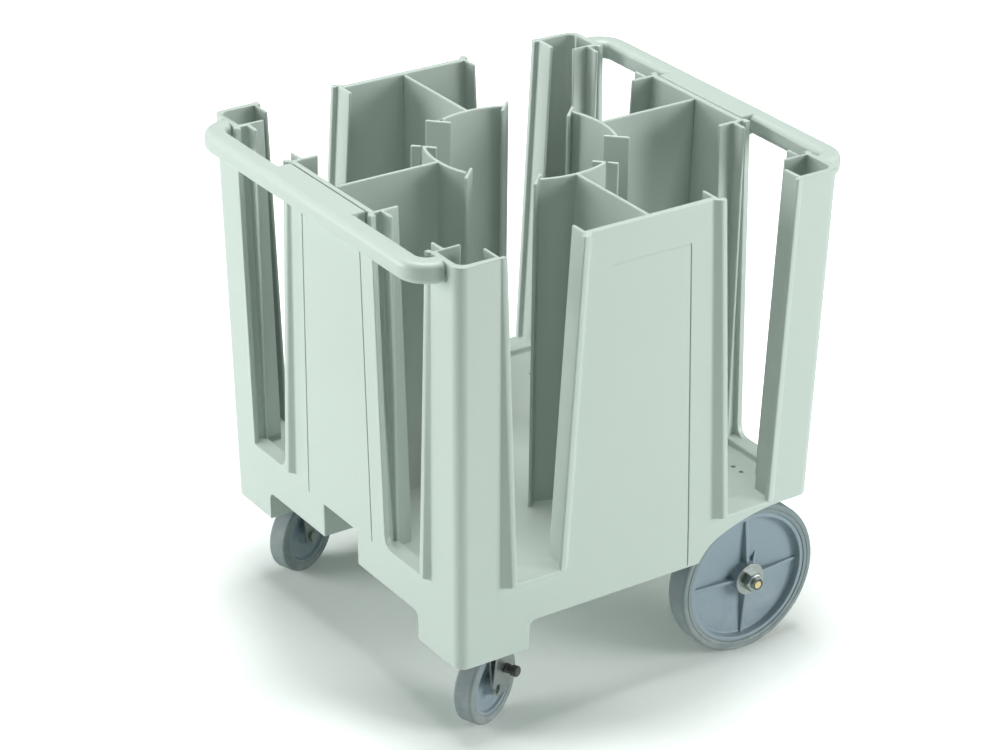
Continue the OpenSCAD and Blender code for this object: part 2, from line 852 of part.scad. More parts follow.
module axle_bracket() {
  color(zinc) {
    translate([axle_x, bracket_y, 0])
      rotate([-90, 0, 0])
        linear_extrude(bracket_t)
          difference() {
            union() {
              translate([0, -wheel_r])
                circle(eye_r);
              polygon([[-bracket_len / 2, -floor_low], [bracket_len / 2, -floor_low],
                [eye_r, -wheel_r], [-eye_r, -wheel_r]]);
            }
            translate([0, -wheel_r])
              circle(axle_r);
          }
    difference() {
      box([axle_x - bracket_len / 2, bracket_y - flange_w, floor_low - bracket_t],
        [axle_x + bracket_len / 2, bracket_y, floor_low]);
      screw_places()
        translate([0, 0, floor_low - bracket_t - 1])
          cylinder(r = screw_r, h = bracket_t + 2);
    }
  }
}

module bracket_screws() {
  color(zinc)
    both_sides()
      screw_places() {
        translate([0, 0, floor_low - bracket_t - screw_head])
          hex_prism(bolt_af, screw_head);
        translate([0, 0, floor_low - bracket_t])
          cylinder(r = screw_r, h = bracket_t + floor_t - 1);
      }
}

// Its children in the frame of a caster: swivel axis on Z, wheel axle towards +X
module caster_right() {
  translate([-caster_x, -caster_y, 0])
    rotate([0, 0, swivel_right])
      children();
}
module caster_left() {
  translate([-caster_x, caster_y, 0])
    rotate([0, 0, swivel_left])
      children();
}
// Its children turned so that local Z runs along the caster's own axle, towards its -Y side
module at_pin(y) {
  translate([trail, y, caster_r])
    rotate([90, 0, 0])
      children();
}

module caster_plate() {
  color(zinc)
    translate([0, 0, web_z - plate_t]) {
      difference() {
        translate([-plate_len / 2, -plate_wid / 2, 0])
          cube([plate_len, plate_wid, plate_t]);
        bolt_places()
          translate([0, 0, -1])
            cylinder(r = bolt_r, h = plate_t + 2);
        translate([0, 0, -1])
          cylinder(r = king_r, h = plate_t + 2);
      }
      translate([0, 0, race_z - web_z + plate_t])
        tube(king_r, crown_r - 4, web_z - plate_t - race_z);
    }
}

module caster_bolts() {
  color(zinc)
    for (s = [-1, 1])
      translate([-caster_x, s * caster_y, 0])
        bolt_places() {
          translate([0, 0, web_z - plate_t - bolt_head])
            hex_prism(bolt_af, bolt_head);
          translate([0, 0, web_z - plate_t])
            cylinder(r = bolt_r, h = plate_t + web_t + bolt_head + 3);
        }
}

module caster_nuts() {
  color(zinc)
    for (s = [-1, 1])
      translate([-caster_x, s * caster_y, web_z + web_t])
        bolt_places()
          difference() {
            hex_prism(bolt_af, bolt_head);
            translate([0, 0, -1])
              cylinder(r = bolt_r, h = bolt_head + 2);
          }
}

module kingpin() {
  color(zinc)
    translate([0, 0, crown_z - thrust_gap - king_head]) {
      cylinder(r = king_r + 5, h = king_head);
      cylinder(r = king_r, h = web_z - crown_z + thrust_gap + king_head);
    }
}

// Ring of balls that rides on the fork crown
module ball_race() {
  ball_r = (race_z - thrust_gap - crown_z - fork_t) / 2;
  color(zinc)
    translate([0, 0, crown_z + fork_t])
      rotate_extrude() {
        translate([race_mid, ball_r])
          circle(ball_r);
        translate([race_mid - ball_r, 0])
          square([2 * ball_r, ball_r]);
      }
}

// Fork: crown plate and two legs, bored for the axle bolt and, if braked, the brake pin
module fork(braked) {
  color(zinc)
    difference() {
      union() {
        translate([0, 0, crown_z])
          cylinder(r = crown_r, h = fork_t);
        box([-leg_back, -leg_in - fork_t, crown_z], [leg_front, leg_in + fork_t, crown_z + fork_t]);
        for (y = [-leg_in, leg_in + fork_t])
          translate([0, y, 0])
            rotate([90, 0, 0])
              linear_extrude(fork_t) {
                polygon([[-leg_back, crown_z + fork_t], [-leg_back, crown_z - 5],
                  [trail - 20, crown_z - 20], [trail - eye_small, caster_r],
                  [trail + eye_small, caster_r], [leg_front, crown_z + fork_t]]);
                translate([trail, caster_r])
                  circle(eye_small);
              }
      }
      translate([0, 0, crown_z - 1])
        cylinder(r = king_r + run, h = fork_t + 2);
      at_pin(far / 2)
        cylinder(r = pin_r + run, h = far);
      if (braked)
        translate([brake_x, far / 2, brake_z])
          rotate([90, 0, 0])
            cylinder(r = brake_pin_r + run, h = far);
    }
}

module caster_tyre() {
  color(tyre_grey)
    at_pin(caster_w / 2)
      rotate_extrude()
        band_profile(caster_rim_r, caster_r, caster_w, tread_round - 1);
}

module caster_centre() {
  hub = leg_in - side_gap;
  mid = caster_w / 2;
  color(wheel_grey)
    at_pin(0)
      rotate_extrude()
        polygon([[caster_bush_r, -hub], [caster_hub_r, -hub], [caster_hub_r + 3, -mid + 9],
          [caster_rim_r - 7, -mid + 7], [caster_rim_r - 5, -mid + 1], [caster_rim_r, -mid + 1],
          [caster_rim_r, mid - 1], [caster_rim_r - 5, mid - 1], [caster_rim_r - 7, mid - 7],
          [caster_hub_r + 3, mid - 9], [caster_hub_r, hub], [caster_bush_r, hub]]);
}

module caster_bush() {
  hub = leg_in - side_gap;
  color(dark)
    at_pin(hub)
      tube(pin_r + run, caster_bush_r, 2 * hub);
}

module caster_bolt() {
  out = leg_in + fork_t;
  color(zinc) {
    at_pin(out)
      cylinder(r = pin_r, h = 2 * out + bolt_head + bolt_end);
    at_pin(out + bolt_head)
      hex_prism(bolt_af + 2, bolt_head);
  }
}

module caster_nut() {
  color(zinc)
    at_pin(-leg_in - fork_t)
      difference() {
        hex_prism(bolt_af + 2, bolt_head);
        translate([0, 0, -1])
          cylinder(r = pin_r, h = bolt_head + 2);
      }
}

module brake_lever() {
  color(zinc)
    translate([0, -lever_y, 0])
      rotate([90, 0, 0])
        linear_extrude(lever_t)
          difference() {
            union() {
              translate([brake_x, brake_z])
                circle(lever_eye);
              translate([brake_x, brake_z])
                polygon(concat([[-lever_eye * 0.75, -5]], lever_len * lever_shape,
                  [[lever_eye * 0.75, 5]]));
            }
            translate([brake_x, brake_z] + lever_len * nut_view)
              circle(lever_eye - 1);
            translate([brake_x, brake_z])
              circle(brake_pin_r);
          }
}

module brake_pin() {
  color(zinc)
    translate([brake_x, leg_in + fork_t + 3, brake_z])
      rotate([90, 0, 0])
        cylinder(r = brake_pin_r, h = leg_in + fork_t + 3 + lever_y + lever_t + 2);
}

// Cam on the brake pin, between the fork legs, above the tyre
module brake_cam() {
  wide = caster_w - 8;
  color(zinc)
    difference() {
      translate([brake_x + cam_off, wide / 2, brake_z])
        rotate([90, 0, 0])
          cylinder(r = cam_r, h = wide);
      translate([brake_x, wide / 2 + 1, brake_z])
        rotate([90, 0, 0])
          cylinder(r = brake_pin_r, h = wide + 2);
    }
}

// Two knobs on one stem, the inner one beside the lever
module brake_knobs() {
  in_r = knob_r - 1;
  neck_end = knob_in_h + knob_neck;
  tip = neck_end + knob_h;
  color(dark)
    translate([brake_x + lever_len * knob_at[0], -lever_y - lever_t,
      brake_z + lever_len * knob_at[1]])
      rotate([90, 0, 0])
        rotate_extrude()
          polygon([[0, 0], [in_r - 1, 0], [in_r, 1.5], [in_r, knob_in_h - 1.5],
            [in_r - 1, knob_in_h], [in_r - 2.5, knob_in_h], [in_r - 2.5, neck_end],
            [knob_r - 1, neck_end], [knob_r, neck_end + 1.5], [knob_r, tip - 2],
            [knob_r - 2, tip], [0, tip]]);
}

bay_floor();
side_skirt();  // skirt_left
mirror([0, 1, 0]) side_skirt();  // skirt_right
skirt_wheel_end();
skirt_caster_end();
mirror([1, 0, 0]) foot();  // foot_left
rotate([0, 0, 180]) foot();  // foot_right
post();  // post_wheel_left
mirror([0, 1, 0]) post();  // post_wheel_right
mirror([1, 0, 0]) post();  // post_caster_left
rotate([0, 0, 180]) post();  // post_caster_right
side_panel();  // panel_left
mirror([0, 1, 0]) side_panel();  // panel_right
end_panel();  // panel_wheel_end
mirror([1, 0, 0]) end_panel();  // panel_caster_end
side_divider();  // divider_left
mirror([0, 1, 0]) side_divider();  // divider_right
end_divider();  // divider_wheel_end
mirror([1, 0, 0]) end_divider();  // divider_caster_end
rail();  // rail_wheel_end
mirror([1, 0, 0]) rail();  // rail_caster_end
axle();
axle_bracket();  // axle_bracket_left
mirror([0, 1, 0]) axle_bracket();  // axle_bracket_right
bracket_screws();
axle_spacers();
tyre();  // tyre_left
mirror([0, 1, 0]) tyre();  // tyre_right
wheel_centre();  // wheel_centre_left
mirror([0, 1, 0]) wheel_centre();  // wheel_centre_right
wheel_bush();  // wheel_bush_left
mirror([0, 1, 0]) wheel_bush();  // wheel_bush_right
axle_washers();
axle_nuts();
translate([-caster_x, -caster_y, 0]) caster_plate();  // caster_plate_right
translate([-caster_x, caster_y, 0]) caster_plate();  // caster_plate_left
caster_bolts();
caster_nuts();
caster_right() kingpin();  // kingpin_right
caster_left() kingpin();  // kingpin_left
caster_right() ball_race();  // ball_race_right
caster_left() ball_race();  // ball_race_left
caster_right() fork(true);  // fork_right
caster_left() fork(false);  // fork_left
caster_right() caster_centre();  // caster_centre_right
caster_left() caster_centre();  // caster_centre_left
caster_right() caster_tyre();  // caster_tyre_right
caster_left() caster_tyre();  // caster_tyre_left
caster_right() caster_bush();  // caster_bush_right
caster_left() caster_bush();  // caster_bush_left
caster_right() caster_bolt();  // caster_bolt_right
caster_left() caster_bolt();  // caster_bolt_left
caster_right() caster_nut();  // caster_nut_right
caster_left() caster_nut();  // caster_nut_left
caster_right() brake_lever();
caster_right() brake_pin();
caster_right() brake_cam();
caster_right() brake_knobs();
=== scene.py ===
import json
import math

import bmesh
import bpy
from mathutils import Matrix, Vector


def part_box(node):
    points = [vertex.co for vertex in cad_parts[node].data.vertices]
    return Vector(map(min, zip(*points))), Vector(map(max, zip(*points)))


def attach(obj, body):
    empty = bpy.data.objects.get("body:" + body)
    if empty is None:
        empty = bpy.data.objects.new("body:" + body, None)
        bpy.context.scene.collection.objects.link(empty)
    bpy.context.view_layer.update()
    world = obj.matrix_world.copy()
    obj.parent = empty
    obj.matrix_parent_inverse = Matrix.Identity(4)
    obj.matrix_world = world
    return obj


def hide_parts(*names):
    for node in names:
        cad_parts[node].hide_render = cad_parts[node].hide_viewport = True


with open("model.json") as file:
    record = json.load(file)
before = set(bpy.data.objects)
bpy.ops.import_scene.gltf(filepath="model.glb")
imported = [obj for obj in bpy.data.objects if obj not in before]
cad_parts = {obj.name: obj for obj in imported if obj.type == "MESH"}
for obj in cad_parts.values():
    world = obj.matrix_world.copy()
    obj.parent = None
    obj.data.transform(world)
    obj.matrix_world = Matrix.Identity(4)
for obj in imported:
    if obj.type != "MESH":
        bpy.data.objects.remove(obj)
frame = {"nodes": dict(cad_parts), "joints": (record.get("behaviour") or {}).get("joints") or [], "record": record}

bl_info = {
    "name": "Dish Caddy",
    "version": (1, 0, 0),
    "blender": (4, 5, 0),
    "location": "View3D > Sidebar > Dish Caddy",
    "description": "Builds a wheeled dish caddy around its packed CAD frame",
    "category": "Object",
}


# Sizes from the frame, in metres

LOW, HIGH = 0, 1
SIDES = ("left", "right")


def corner(node, end):
    """Lowest or highest corner of a CAD node, to a hundredth of a millimetre."""
    return [round(value, 5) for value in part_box(node)[end]]


JOINTS = {joint["name"]: joint for joint in frame["joints"]}
NODE_SLOT = {part["node"]: part["material_slot"] for part in frame["record"]["subparts"]}
NODE_BODY = {node: body for body, nodes in frame["record"]["behaviour"]["bodies"].items()
             for node in nodes}

# The wheels stand on the floor, so the height of an axle is the radius of its wheel
AXLE_X, _, WHEEL_R = JOINTS["wheel_spin_left"]["pos_m"]
CASTER_R = JOINTS["caster_spin_left"]["pos_m"][2]
WHEEL_IN, WHEEL_OUT = (corner("tyre_left", end)[1] for end in (LOW, HIGH))
_, FOOT_IN_Y, FOOT_Z = corner("foot_left", LOW)
FOOT_BACK_X = corner("foot_left", HIGH)[0]
SKIRT_Z, SILL_Z = (corner("skirt_left", end)[2] for end in (LOW, HIGH))
_, PANEL_EDGE_Y, RIM_Z = corner("panel_caster_end", HIGH)


# Sizes of the moulding's outside, in metres

WALL = 0.009
NOTCH_Z = 0.250
# Half sizes of the body, at the bottom of the feet and at the rim
END_FACE = (0.317, 0.333)
SIDE_FACE = (0.325, 0.340)
# How far the frames of the end slots stand proud, at the sill and at the rim
FRAME_PROUD = (0.010, 0.003)
# Places of the thin grooves, at the sill and at the rim
SIDE_GROOVE_X = (0.087, 0.066)
END_GROOVE_Y = (0.090, 0.078)


# Settings

class DishCaddyBody(bpy.types.PropertyGroup):
    """Sizes of the soft edges of the moulded body"""

    edge: bpy.props.FloatProperty(
        name="Edge rounding", description="Width of the rounding on the edges of the moulding",
        default=0.0022, min=0.0005, max=0.004, unit="LENGTH")
    steps: bpy.props.IntProperty(
        name="Edge steps", description="Number of faces across a rounded edge", default=3, min=1, max=5)
    sharp: bpy.props.FloatProperty(
        name="Sharp angle", description="Smallest angle between two faces whose edge is rounded",
        default=math.radians(24), subtype="ANGLE", unit="ROTATION")
    foot_round: bpy.props.FloatProperty(
        name="Foot corner", description="Radius of the inner corners between the feet and the skirts",
        default=0.012, min=0.004, max=0.020, unit="LENGTH")
    slot_round: bpy.props.FloatProperty(
        name="Slot corner", description="Radius of the inner corners low down in the end slots",
        default=0.018, min=0.004, max=0.030, unit="LENGTH")


class DishCaddyWheels(bpy.types.PropertyGroup):
    """Details of the wheels and casters"""

    turns: bpy.props.IntProperty(
        name="Faces round a wheel", description="Number of faces round a big wheel",
        default=128, min=32, max=256)
    caster_turns: bpy.props.IntProperty(
        name="Faces round a caster", description="Number of faces round a caster wheel",
        default=96, min=32, max=192)
    groove: bpy.props.FloatProperty(
        name="Tyre groove", description="Depth of the groove in the outer side of a big tyre",
        default=0.0012, min=0.0002, max=0.003, unit="LENGTH")
    hardware: bpy.props.FloatProperty(
        name="Hardware chamfer", description="Width of the chamfer on steel edges",
        default=0.0005, min=0.0001, max=0.001, unit="LENGTH")


class DishCaddySurface(bpy.types.PropertyGroup):
    """Colours of the finishes, and how strongly use shows on them"""

    plastic: bpy.props.FloatVectorProperty(
        name="Moulding colour", description="Colour of the moulded body", subtype="COLOR",
        default=(0.500, 0.570, 0.532), min=0.0, max=1.0)
    wheel: bpy.props.FloatVectorProperty(
        name="Wheel colour", description="Colour of the plastic wheel centres", subtype="COLOR",
        default=(0.235, 0.300, 0.352), min=0.0, max=1.0)
    tyre: bpy.props.FloatVectorProperty(
        name="Tyre colour", description="Colour of the rubber tyres", subtype="COLOR",
        default=(0.200, 0.245, 0.258), min=0.0, max=1.0)
    grain: bpy.props.FloatProperty(
        name="Moulding grain", description="Strength of the fine grain of the plastic",
        default=0.05, min=0.0, max=1.0, subtype="FACTOR")
    wear: bpy.props.FloatProperty(
        name="Wear", description="Strength of scuffs and mottling", default=0.35, min=0.0, max=1.0,
        subtype="FACTOR")
    dust: bpy.props.FloatProperty(
        name="Dust", description="Strength of dust on the lower surfaces", default=0.25, min=0.0, max=1.0,
        subtype="FACTOR")


# Shader groups

SOCKETS = {"float": "NodeSocketFloat", "color": "NodeSocketColor", "vector": "NodeSocketVector"}
# Sockets of a Mix node that blends colours
MIX_FACTOR, MIX_FIRST, MIX_SECOND, MIX_RESULT = 0, 6, 7, 2


def add_node(tree, kind, **values):
    """Shader node with the given properties."""
    node = tree.nodes.new(kind)
    for key, value in values.items():
        setattr(node, key, value)
    return node


def group_tree(name, inputs, outputs):
    """Node group with the named sockets, and its input and output nodes."""
    tree = bpy.data.node_groups.new(name, "ShaderNodeTree")
    for label, (kind, value) in inputs.items():
        socket = tree.interface.new_socket(name=label, in_out="INPUT", socket_type=SOCKETS[kind])
        if value is not None:
            socket.default_value = value
    for label, kind in outputs.items():
        tree.interface.new_socket(name=label, in_out="OUTPUT", socket_type=SOCKETS[kind])
    return tree, add_node(tree, "NodeGroupInput"), add_node(tree, "NodeGroupOutput")


def noise(tree, coords, scale, detail, rough):
    """Noise over the surface, from 0 to 1."""
    node = add_node(tree, "ShaderNodeTexNoise")
    node.inputs["Scale"].default_value = scale
    node.inputs["Detail"].default_value = detail
    node.inputs["Roughness"].default_value = rough
    tree.links.new(coords, node.inputs["Vector"])
    return node.outputs["Fac"]


def ramp(tree, value, low, high):
    """Value stretched so that low gives 0 and high gives 1."""
    node = add_node(tree, "ShaderNodeMapRange")
    node.inputs["From Min"].default_value = low
    node.inputs["From Max"].default_value = high
    tree.links.new(value, node.inputs["Value"])
    return node.outputs["Result"]


def math_node(tree, operation, first, second):
    """Result of a sum on two values, each a socket or a number."""
    node = add_node(tree, "ShaderNodeMath", operation=operation)
    for slot, value in zip(node.inputs, (first, second)):
        if isinstance(value, (int, float)):
            slot.default_value = value
        else:
            tree.links.new(value, slot)
    return node.outputs[0]


def mix_colors(tree, factor, first, second):
    """Blend of two colours, with the factor held between 0 and 1."""
    node = add_node(tree, "ShaderNodeMix", data_type="RGBA", clamp_factor=True)
    for socket, value in ((MIX_FACTOR, factor), (MIX_FIRST, first), (MIX_SECOND, second)):
        tree.links.new(value, node.inputs[socket])
    return node.outputs[MIX_RESULT]


def z_of(tree, vector):
    """Z of a vector."""
    split = add_node(tree, "ShaderNodeSeparateXYZ")
    tree.links.new(vector, split.inputs[0])
    return split.outputs["Z"]


def grain_group():
    """Fine grain of a moulding, on a normal that rounds the edges."""
    tree, given, result = group_tree(
        "Moulding grain",
        {"Coords": ("vector", None), "Scale": ("float", 900.0), "Strength": ("float", 0.1),
         "Edge": ("float", 0.001)},
        {"Normal": "vector"})
    fine = add_node(tree, "ShaderNodeTexNoise")
    fine.inputs["Detail"].default_value = 2.0
    tree.links.new(given.outputs["Coords"], fine.inputs["Vector"])
    tree.links.new(given.outputs["Scale"], fine.inputs["Scale"])
    bump = add_node(tree, "ShaderNodeBump")
    bump.inputs["Distance"].default_value = 0.0004
    tree.links.new(fine.outputs["Fac"], bump.inputs["Height"])
    tree.links.new(given.outputs["Strength"], bump.inputs["Strength"])
    edge = add_node(tree, "ShaderNodeBevel", samples=6)
    tree.links.new(given.outputs["Edge"], edge.inputs["Radius"])
    tree.links.new(edge.outputs["Normal"], bump.inputs["Normal"])
    tree.links.new(bump.outputs["Normal"], result.inputs["Normal"])
    return tree


def wear_group():
    """Broad mottling, small scuffs and upright scratches, in a worn colour."""
    tree, given, result = group_tree(
        "Wear",
        {"Coords": ("vector", None), "Color": ("color", (0.5, 0.5, 0.5, 1)),
         "Worn color": ("color", (0.4, 0.4, 0.4, 1)), "Roughness": ("float", 0.5),
         "Amount": ("float", 0.3)},
        {"Color": "color", "Roughness": "float"})
    scratch_scale = (260.0, 260.0, 9.0)
    mark_share, mottle_share, rougher = 0.35, 0.25, 0.35
    coords = given.outputs["Coords"]
    mottle = ramp(tree, noise(tree, coords, scale=5.0, detail=5.0, rough=0.55), 0.35, 0.72)
    scuffs = ramp(tree, noise(tree, coords, scale=70.0, detail=6.0, rough=0.7), 0.56, 0.72)
    stretch = add_node(tree, "ShaderNodeMapping")
    stretch.inputs["Scale"].default_value = scratch_scale
    tree.links.new(coords, stretch.inputs["Vector"])
    scratches = ramp(tree, noise(tree, stretch.outputs["Vector"], scale=1.0, detail=2.0, rough=0.6),
                     0.66, 0.8)
    marks = math_node(tree, "MULTIPLY", math_node(tree, "ADD", scuffs, scratches), mark_share)
    mask = math_node(tree, "ADD", marks, math_node(tree, "MULTIPLY", mottle, mottle_share))
    mask = math_node(tree, "MULTIPLY", mask, given.outputs["Amount"])
    color = mix_colors(tree, mask, given.outputs["Color"], given.outputs["Worn color"])
    tree.links.new(color, result.inputs["Color"])
    rough = math_node(tree, "ADD", given.outputs["Roughness"], math_node(tree, "MULTIPLY", mask, rougher))
    tree.links.new(rough, result.inputs["Roughness"])
    return tree


def dust_group():
    """Clouds of dust, thickest near the floor and thinner on what faces up."""
    tree, given, result = group_tree(
        "Dust",
        {"Coords": ("vector", None), "Color": ("color", (0.5, 0.5, 0.5, 1)),
         "Dust color": ("color", (0.62, 0.62, 0.57, 1)), "Roughness": ("float", 0.5),
         "Amount": ("float", 0.25)},
        {"Color": "color", "Roughness": "float"})
    dusty_height, level_share, rougher = 0.16, 0.35, 0.4
    near_floor = ramp(tree, z_of(tree, given.outputs["Coords"]), dusty_height, 0.0)
    upward = z_of(tree, add_node(tree, "ShaderNodeNewGeometry").outputs["Normal"])
    level = math_node(tree, "MULTIPLY", ramp(tree, upward, 0.5, 1.0), level_share)
    cloud = ramp(tree, noise(tree, given.outputs["Coords"], scale=24.0, detail=6.0, rough=0.65), 0.38, 0.7)
    mask = math_node(tree, "MULTIPLY", math_node(tree, "MAXIMUM", near_floor, level), cloud)
    mask = math_node(tree, "MULTIPLY", mask, given.outputs["Amount"])
    color = mix_colors(tree, mask, given.outputs["Color"], given.outputs["Dust color"])
    tree.links.new(color, result.inputs["Color"])
    rough = math_node(tree, "ADD", given.outputs["Roughness"], math_node(tree, "MULTIPLY", mask, rougher))
    tree.links.new(rough, result.inputs["Roughness"])
    return tree


def add_group(tree, name, make, **values):
    """Node that holds a shared group, which is built the first time, with its own values."""
    node = add_node(tree, "ShaderNodeGroup", node_tree=bpy.data.node_groups.get(name) or make())
    for key, value in values.items():
        node.inputs[key.replace("_", " ")].default_value = value
    return node


# Materials

def finish_material(name, color, worn, rough, metal=0.0, grain=None, wear=None, dust=None,
                    grain_scale=900.0, edge=0.0006):
    """Principled material with the shared grain, wear and dust groups on object coordinates."""
    found = bpy.data.materials.get(name)
    if found:
        return found
    surface = bpy.context.scene.dish_caddy_surface
    grain = surface.grain if grain is None else grain
    wear = surface.wear if wear is None else wear
    dust = surface.dust if dust is None else dust
    mat = bpy.data.materials.new(name)
    mat.use_nodes = True
    mat.diffuse_color = (*color, 1)
    tree = mat.node_tree
    shader = tree.nodes["Principled BSDF"]
    shader.inputs["Base Color"].default_value = (*color, 1)
    shader.inputs["Roughness"].default_value = rough
    shader.inputs["Metallic"].default_value = metal
    coords = add_node(tree, "ShaderNodeTexCoord").outputs["Object"]
    worn_node = add_group(tree, "Wear", wear_group, Color=(*color, 1), Worn_color=(*worn, 1),
                          Roughness=rough, Amount=wear)
    dust_node = add_group(tree, "Dust", dust_group, Amount=dust)
    grain_node = add_group(tree, "Moulding grain", grain_group, Scale=grain_scale, Strength=grain,
                           Edge=edge)
    for node in (worn_node, dust_node, grain_node):
        tree.links.new(coords, node.inputs["Coords"])
    for label in ("Color", "Roughness"):
        tree.links.new(worn_node.outputs[label], dust_node.inputs[label])
    tree.links.new(dust_node.outputs["Color"], shader.inputs["Base Color"])
    tree.links.new(dust_node.outputs["Roughness"], shader.inputs["Roughness"])
    tree.links.new(grain_node.outputs["Normal"], shader.inputs["Normal"])
    return mat


def plastic_mat():
    """Pale green moulded plastic."""
    color = bpy.context.scene.dish_caddy_surface.plastic
    return finish_material("Moulded plastic", color, (0.41, 0.475, 0.437), rough=0.38, wear=0.25,
                           edge=0.0028)


def wheel_mat():
    """Blue-grey plastic of the wheel centres."""
    color = bpy.context.scene.dish_caddy_surface.wheel
    return finish_material("Wheel plastic", color, (0.18, 0.23, 0.27), rough=0.38, grain=0.03)


def tyre_mat():
    """Grey rubber of the tyres."""
    color = bpy.context.scene.dish_caddy_surface.tyre
    return finish_material("Tyre rubber", color, (0.14, 0.175, 0.18), rough=0.62, grain=0.15,
                           grain_scale=600.0, dust=0.4)


def zinc_mat():
    """Zinc plated steel."""
    return finish_material("Zinc plated steel", (0.40, 0.425, 0.42), (0.24, 0.25, 0.24), rough=0.34,
                           metal=1.0, grain=0.04, grain_scale=1400.0, wear=0.5)


def brass_mat():
    """Brass plating on the tips of the axle."""
    return finish_material("Brass plated steel", (0.80, 0.62, 0.30), (0.50, 0.38, 0.18), rough=0.28,
                           metal=1.0, grain=0.04, grain_scale=1400.0)


def dark_mat():
    """Dark plastic of the knobs and bushes."""
    return finish_material("Dark plastic", (0.022, 0.028, 0.028), (0.05, 0.055, 0.055), rough=0.45,
                           grain=0.1)


SLOT_MATS = {"plastic": plastic_mat, "wheel_grey": wheel_mat, "tyre_grey": tyre_mat, "zinc": zinc_mat,
             "dark": dark_mat}


# Objects

def add_object(name, bm):
    """Object from a bmesh, which is freed."""
    mesh = bpy.data.meshes.new(name)
    bm.to_mesh(mesh)
    bm.free()
    obj = bpy.data.objects.new(name, mesh)
    bpy.context.scene.collection.objects.link(obj)
    return obj


def smooth(obj, angle):
    """Smooth shading with flat faces kept flat."""
    obj.data.shade_smooth()
    obj.data.set_sharp_from_angle(angle=math.radians(angle))
    weighted = obj.modifiers.new("Weighted normals", "WEIGHTED_NORMAL")
    weighted.keep_sharp = True
    weighted.weight = 80


def piece(name, bm, mats, body, replaced, angle=40):
    """Object from a bmesh, riding a CAD body and standing for CAD nodes."""
    bmesh.ops.recalc_face_normals(bm, faces=bm.faces)
    obj = add_object(name, bm)
    for mat in mats:
        obj.data.materials.append(mat)
    smooth(obj, angle)
    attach(obj, body)
    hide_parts(*replaced)


def solid(name, fill):
    """Object from a function that fills a bmesh with closed solids."""
    bm = bmesh.new()
    fill(bm)
    bmesh.ops.recalc_face_normals(bm, faces=bm.faces)
    return add_object(name, bm)


def node_bmesh(name):
    """Merged copy of a CAD node's mesh."""
    bm = bmesh.new()
    bm.from_mesh(frame["nodes"][name].data)
    touching = 2e-6
    bmesh.ops.remove_doubles(bm, verts=bm.verts, dist=touching)
    return bm


# Mesh shapes

def prism(bm, first, second):
    """Closed solid between two outlines with the same number of points. Gives its two rings."""
    rings = [[bm.verts.new(point) for point in outline] for outline in (first, second)]
    for index in range(len(first)):
        near, far = ((ring[index - 1], ring[index]) for ring in rings)
        bm.faces.new((*near, *reversed(far)))
    bm.faces.new(rings[1])
    bm.faces.new(reversed(rings[0]))
    return rings


def sharp_edges(bm, angle):
    """Edges between two faces that meet at more than an angle."""
    return [edge for edge in bm.edges if edge.is_manifold and edge.calc_face_angle(0.0) > angle]


def bevel(bm, edges, width, segments, clamp=True):
    """Edges rounded to a width."""
    bmesh.ops.bevel(bm, geom=edges, offset=width, offset_type="OFFSET", segments=segments,
                    profile=0.5, affect="EDGES", clamp_overlap=clamp, material=-1)


def spun(profile, place, steps):
    """Full turn of a closed profile of (radius, height) about local Z, put in place by a matrix."""
    bm = bmesh.new()
    verts = [bm.verts.new((radius, 0, height)) for radius, height in profile]
    edges = [bm.edges.new(pair) for pair in zip(verts, verts[1:] + verts[:1])]
    bmesh.ops.spin(bm, geom=verts + edges, cent=(0, 0, 0), axis=(0, 0, 1), dvec=(0, 0, 0),
                   angle=math.tau, steps=steps, use_merge=True)
    bmesh.ops.transform(bm, matrix=place, verts=bm.verts)
    return bm


def rounded(points, steps):
    """Closed profile of (x, y, radius) points, with each corner rounded by its own radius."""
    out = []
    count = len(points)
    # A rounding takes a little under half of the shorter side beside it at most
    most = 0.49
    for index, (x, y, radius) in enumerate(points):
        here = Vector((x, y))
        if radius <= 0:
            out.append(tuple(here))
            continue
        back = Vector(points[index - 1][:2]) - here
        ahead = Vector(points[(index + 1) % count][:2]) - here
        half = back.angle(ahead) / 2
        reach = min(radius / math.tan(half), back.length * most, ahead.length * most)
        radius = reach * math.tan(half)
        start, end = here + back.normalized() * reach, here + ahead.normalized() * reach
        middle = (back.normalized() + ahead.normalized()).normalized()
        centre = here + middle * (radius / math.sin(half))
        u, v = start - centre, end - centre
        turn = u.angle_signed(v)
        for step in range(steps + 1):
            t = -turn * step / steps
            out.append((centre.x + u.x * math.cos(t) - u.y * math.sin(t),
                        centre.y + u.x * math.sin(t) + u.y * math.cos(t)))
    return out


def fillet(corner_at, way, radius, bite=0.001, steps=7):
    """Outline that fills an inner corner with a hollow arc, where way points out of the corner."""
    (a, b), (u, v) = corner_at, way
    ca, cb = a + u * radius, b + v * radius
    arc = [(ca - u * radius * math.sin(t), cb - v * radius * math.cos(t))
           for t in (step * math.pi / 2 / steps for step in range(steps + 1))]
    return [(a - u * bite, b - v * bite), (ca, b - v * bite), *arc, (a - u * bite, cb)]


# Places on the caddy

def along(span, z, z0=SILL_Z):
    """Value at a height, where span holds its values at height z0 and at the rim."""
    low, high = span
    return low + (high - low) * (z - z0) / (RIM_Z - z0)


def face_x(z):
    """Half length of the body at a height."""
    return along(END_FACE, z, FOOT_Z)


def face_y(z):
    """Half width of the body at a height."""
    return along(SIDE_FACE, z, FOOT_Z)


def frame_x(z):
    """Half length over the frames of the end slots at a height."""
    proud_low, proud_top = FRAME_PROUD
    return along((face_x(SILL_Z) + proud_low, face_x(RIM_Z) + proud_top), z)


